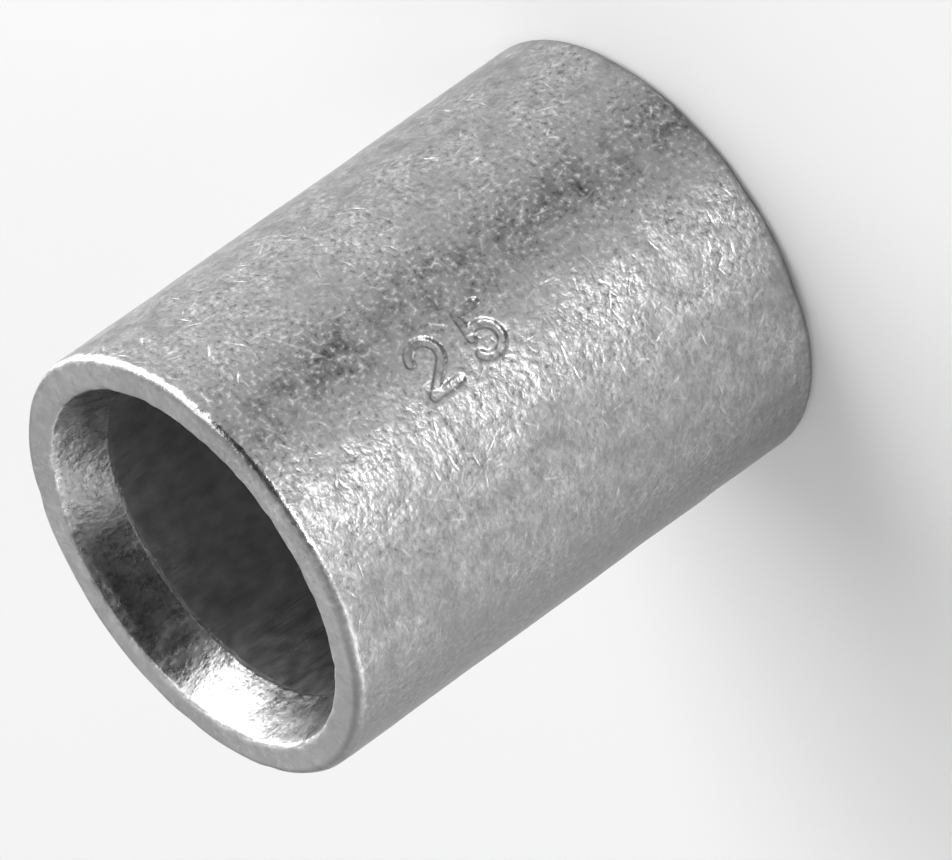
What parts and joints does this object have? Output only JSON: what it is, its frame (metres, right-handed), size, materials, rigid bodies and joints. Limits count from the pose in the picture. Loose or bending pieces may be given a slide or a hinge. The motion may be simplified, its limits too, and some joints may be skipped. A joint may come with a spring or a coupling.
{
  "type": "butt splice connector",
  "caption": "Short seamless tin-plated copper crimp sleeve with a through bore and flared ends; stripped conductors are pushed in from either end and the sleeve is squeezed on them.",
  "frame": {"origin": "middle of the lower end face, on the sleeve's axis", "axes": "+Z along the sleeve's axis, from the end it stands on to the open end; the size mark is on the -Y side"},
  "size_m": [0.01, 0.01, 0.013],
  "materials": {
    "tinned_copper": "matt tin plate on copper, tumbled, with fine scratches"
  },
  "bodies": {
    "root": {"sleeve": "tinned_copper"}
  },
  "joints": []
}
